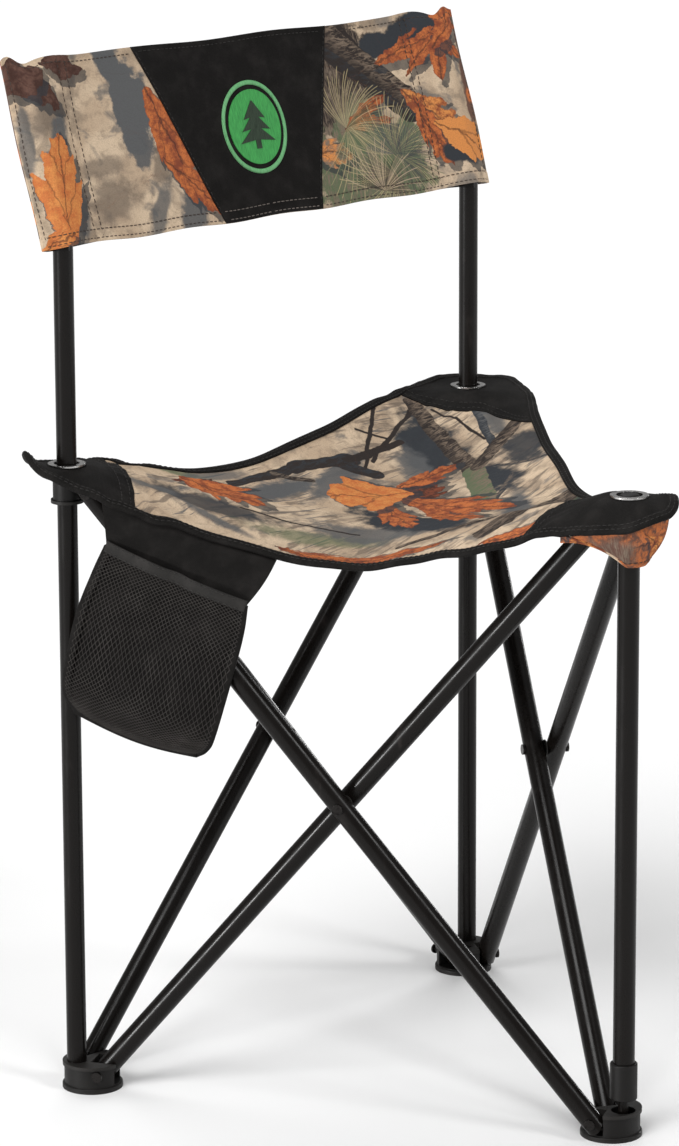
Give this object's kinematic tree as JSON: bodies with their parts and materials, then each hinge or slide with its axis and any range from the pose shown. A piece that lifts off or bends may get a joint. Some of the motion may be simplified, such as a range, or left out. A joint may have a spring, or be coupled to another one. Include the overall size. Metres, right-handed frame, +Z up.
{
  "type": "three leg stool",
  "caption": "Folding three leg stool with crossed steel tubes, sliding hubs, a sagging triangular fabric seat, a leaning fabric backrest and a net pocket.",
  "frame": {"origin": "bottom centre of the stool's box, on the floor", "axes": "+Z up, -Y towards the sitter's knees (front leg), +X to the sitter's right seen from the front"},
  "size_m": [0.492, 0.4533, 0.7826],
  "materials": {
    "black_tube": "satin",
    "black_plastic": "matte",
    "pin_steel": "satin",
    "grommet_steel": "satin",
    "black_fabric": "matte",
    "camo_fabric": "matte",
    "pocket_net": "matte",
    "badge_print": "matte"
  },
  "bodies": {
    "rear_left_leg": {"rear_left_foot": "black_plastic", "rear_left_foot_pins": "pin_steel", "rear_left_post": "black_tube", "rear_left_post_cap": "black_plastic"},
    "rear_right_leg": {"rear_right_foot": "black_plastic", "rear_right_foot_pins": "pin_steel", "rear_right_post": "black_tube", "rear_right_post_cap": "black_plastic"},
    "front_leg": {"front_foot": "black_plastic", "front_foot_pins": "pin_steel", "front_rod": "black_tube", "front_rod_guide": "black_plastic"},
    "rear_left_slider": {"rear_left_hub": "black_plastic", "rear_left_hub_pins": "pin_steel", "rear_left_grommet": "grommet_steel", "rear_left_corner": "black_fabric"},
    "rear_right_slider": {"rear_right_hub": "black_plastic", "rear_right_hub_pins": "pin_steel", "rear_right_grommet": "grommet_steel", "rear_right_corner": "black_fabric"},
    "front_slider": {"front_hub": "black_plastic", "front_hub_pins": "pin_steel", "front_grommet": "grommet_steel", "front_corner": "black_fabric", "front_corner_flap": "camo_fabric", "front_tube": "black_tube", "front_tube_bush": "black_plastic", "front_tube_cap": "black_plastic"},
    "rear_outside_brace": {"rear_outside_brace": "black_tube", "rear_centre_rivet": "pin_steel", "rear_centre_spacer": "black_plastic"},
    "rear_inside_brace": {"rear_inside_brace": "black_tube"},
    "left_inside_brace": {"left_inside_brace": "black_tube", "left_centre_rivet": "pin_steel", "left_centre_spacer": "black_plastic"},
    "left_outside_brace": {"left_outside_brace": "black_tube"},
    "right_inside_brace": {"right_inside_brace": "black_tube", "right_centre_rivet": "pin_steel", "right_centre_spacer": "black_plastic"},
    "right_outside_brace": {"right_outside_brace": "black_tube"},
    "seat_left_edge_front_gore": {"seat_left_edge_front_gore": "camo_fabric"},
    "seat_left_edge_rear_left_gore": {"seat_left_edge_rear_left_gore": "camo_fabric"},
    "seat_rear_edge_rear_left_gore": {"seat_rear_edge_rear_left_gore": "camo_fabric"},
    "seat_rear_edge_rear_right_gore": {"seat_rear_edge_rear_right_gore": "camo_fabric"},
    "seat_right_edge_rear_right_gore": {"seat_right_edge_rear_right_gore": "camo_fabric"},
    "seat_right_edge_front_gore": {"seat_right_edge_front_gore": "camo_fabric"},
    "backrest_left": {"backrest_left_sleeve": "camo_fabric", "backrest_left_panel": "camo_fabric", "backrest_left_patch": "black_fabric", "backrest_left_badge": "badge_print"},
    "backrest_right": {"backrest_right_sleeve": "camo_fabric", "backrest_right_panel": "camo_fabric", "backrest_right_patch": "black_fabric", "backrest_right_badge": "badge_print"},
    "pocket": {"pocket_back": "black_fabric", "pocket_mesh": "pocket_net", "pocket_hem": "black_fabric"}
  },
  "joints": [
    {"name": "fold", "type": "hinge", "parent": "rear_left_leg", "child": "rear_outside_brace", "pos_m": [-0.191, 0.1854, 0.014], "axis": [0, -1, 0], "range_deg": [0, 37.7]},
    {"name": "rear_cross", "type": "hinge", "parent": "rear_outside_brace", "child": "rear_inside_brace", "pos_m": [0, 0.1854, 0.24], "axis": [0, -1, 0], "range_deg": [-75.4, 0]},
    {"name": "rear_right_foot_pivot", "type": "hinge", "parent": "rear_inside_brace", "child": "rear_right_leg", "pos_m": [0.191, 0.1682, 0.014], "axis": [0, -1, 0], "range_deg": [0, 37.7]},
    {"name": "rear_right_hub_pivot", "type": "hinge", "parent": "rear_outside_brace", "child": "rear_right_slider", "pos_m": [0.191, 0.1854, 0.466], "axis": [0, -1, 0], "range_deg": [-37.7, 0]},
    {"name": "rear_left_hub_pivot", "type": "hinge", "parent": "rear_inside_brace", "child": "rear_left_slider", "pos_m": [-0.191, 0.1682, 0.466], "axis": [0, -1, 0], "range_deg": [0, 37.7]},
    {"name": "rear_left_foot_pivot", "type": "hinge", "parent": "rear_left_leg", "child": "left_inside_brace", "pos_m": [-0.19587, 0.15976, 0.014], "axis": [-0.866, -0.5, 0], "range_deg": [0, 37.7]},
    {"name": "left_cross", "type": "hinge", "parent": "left_inside_brace", "child": "left_outside_brace", "pos_m": [-0.10037, -0.00565, 0.24], "axis": [-0.866, -0.5, 0], "range_deg": [-75.4, 0]},
    {"name": "front_foot_pivot", "type": "hinge", "parent": "left_outside_brace", "child": "front_leg", "pos_m": [-0.01977, -0.17966, 0.014], "axis": [-0.866, -0.5, 0], "range_deg": [0, 37.7]},
    {"name": "front_hub_pivot", "type": "hinge", "parent": "left_inside_brace", "child": "front_slider", "pos_m": [-0.00487, -0.17106, 0.466], "axis": [-0.866, -0.5, 0], "range_deg": [-37.7, 0]},
    {"name": "front_foot_right_pivot", "type": "hinge", "parent": "front_leg", "child": "right_inside_brace", "pos_m": [0.00487, -0.17106, 0.014], "axis": [0.866, -0.5, 0], "range_deg": [0, 37.7]},
    {"name": "right_cross", "type": "hinge", "parent": "right_inside_brace", "child": "right_outside_brace", "pos_m": [0.10037, -0.00565, 0.24], "axis": [0.866, -0.5, 0], "range_deg": [-75.4, 0]},
    {"name": "seat_left_edge_front_fold", "type": "hinge", "parent": "front_slider", "child": "seat_left_edge_front_gore", "pos_m": [0, -0.1925, 0.482], "axis": [0.8907, 0.3747, 0.2575], "range_deg": [0, 99.58], "deforming": ["seat_left_edge_front_gore"]},
    {"name": "seat_left_edge_rear_left_fold", "type": "hinge", "parent": "rear_left_slider", "child": "seat_left_edge_rear_left_gore", "pos_m": [-0.212, 0.1747, 0.482], "axis": [-0.7698, -0.584, -0.2575], "range_deg": [0, 99.58], "deforming": ["seat_left_edge_rear_left_gore"]},
    {"name": "seat_rear_edge_rear_left_fold", "type": "hinge", "parent": "rear_left_slider", "child": "seat_rear_edge_rear_left_gore", "pos_m": [-0.212, 0.1747, 0.482], "axis": [-0.4026, -0.9124, 0.0739], "range_deg": [0, 93.48], "deforming": ["seat_rear_edge_rear_left_gore"]},
    {"name": "seat_rear_edge_rear_right_fold", "type": "hinge", "parent": "rear_right_slider", "child": "seat_rear_edge_rear_right_gore", "pos_m": [0.212, 0.1747, 0.482], "axis": [-0.4026, 0.9124, -0.0739], "range_deg": [0, 93.48], "deforming": ["seat_rear_edge_rear_right_gore"]},
    {"name": "seat_right_edge_rear_right_fold", "type": "hinge", "parent": "rear_right_slider", "child": "seat_right_edge_rear_right_gore", "pos_m": [0.212, 0.1747, 0.482], "axis": [-0.5768, 0.8144, 0.0635], "range_deg": [0, 93.35], "deforming": ["seat_right_edge_rear_right_gore"]},
    {"name": "seat_right_edge_front_fold", "type": "hinge", "parent": "front_slider", "child": "seat_right_edge_front_gore", "pos_m": [0, -0.1925, 0.482], "axis": [0.9937, -0.0923, -0.0635], "range_deg": [0, 93.35], "deforming": ["seat_right_edge_front_gore"]},
    {"name": "backrest_left_fold", "type": "hinge", "parent": "rear_left_leg", "child": "backrest_left", "pos_m": [-0.212, 0.1747, 0.65], "axis": [0, 0.309, 0.9511], "range_deg": [0, 80.79], "deforming": ["backrest_left_sleeve", "backrest_left_panel", "backrest_left_patch", "backrest_left_badge"]},
    {"name": "backrest_right_fold", "type": "hinge", "parent": "rear_right_leg", "child": "backrest_right", "pos_m": [0.212, 0.1747, 0.65], "axis": [0, 0.309, 0.9511], "range_deg": [-80.79, 0], "deforming": ["backrest_right_sleeve", "backrest_right_panel", "backrest_right_patch", "backrest_right_badge"]},
    {"name": "pocket_swing", "type": "hinge", "parent": "seat_left_edge_rear_left_gore", "child": "pocket", "pos_m": [-0.21269, 0.13389, 0.456], "axis": [-0.489, 0.8469, 0.209], "range_deg": [0, 100], "deforming": ["pocket_back", "pocket_mesh", "pocket_hem"]}
  ],
  "couplings": [
    {"joint": "rear_cross", "follows": "fold", "ratio": -2},
    {"joint": "rear_right_foot_pivot", "follows": "fold", "ratio": 1},
    {"joint": "rear_right_hub_pivot", "follows": "fold", "ratio": -1},
    {"joint": "rear_left_hub_pivot", "follows": "fold", "ratio": 1},
    {"joint": "rear_left_foot_pivot", "follows": "fold", "ratio": 1},
    {"joint": "left_cross", "follows": "fold", "ratio": -2},
    {"joint": "front_foot_pivot", "follows": "fold", "ratio": 1},
    {"joint": "front_hub_pivot", "follows": "fold", "ratio": -1},
    {"joint": "front_foot_right_pivot", "follows": "fold", "ratio": 1},
    {"joint": "right_cross", "follows": "fold", "ratio": -2},
    {"joint": "seat_left_edge_front_fold", "follows": "fold", "ratio": 2.6414},
    {"joint": "seat_left_edge_rear_left_fold", "follows": "fold", "ratio": 2.6414},
    {"joint": "seat_rear_edge_rear_left_fold", "follows": "fold", "ratio": 2.4796},
    {"joint": "seat_rear_edge_rear_right_fold", "follows": "fold", "ratio": 2.4796},
    {"joint": "seat_right_edge_rear_right_fold", "follows": "fold", "ratio": 2.4761},
    {"joint": "seat_right_edge_front_fold", "follows": "fold", "ratio": 2.4761},
    {"joint": "backrest_left_fold", "follows": "fold", "ratio": 2.1431},
    {"joint": "backrest_right_fold", "follows": "fold", "ratio": -2.1431},
    {"joint": "pocket_swing", "follows": "fold", "ratio": 2.6525}
  ]
}
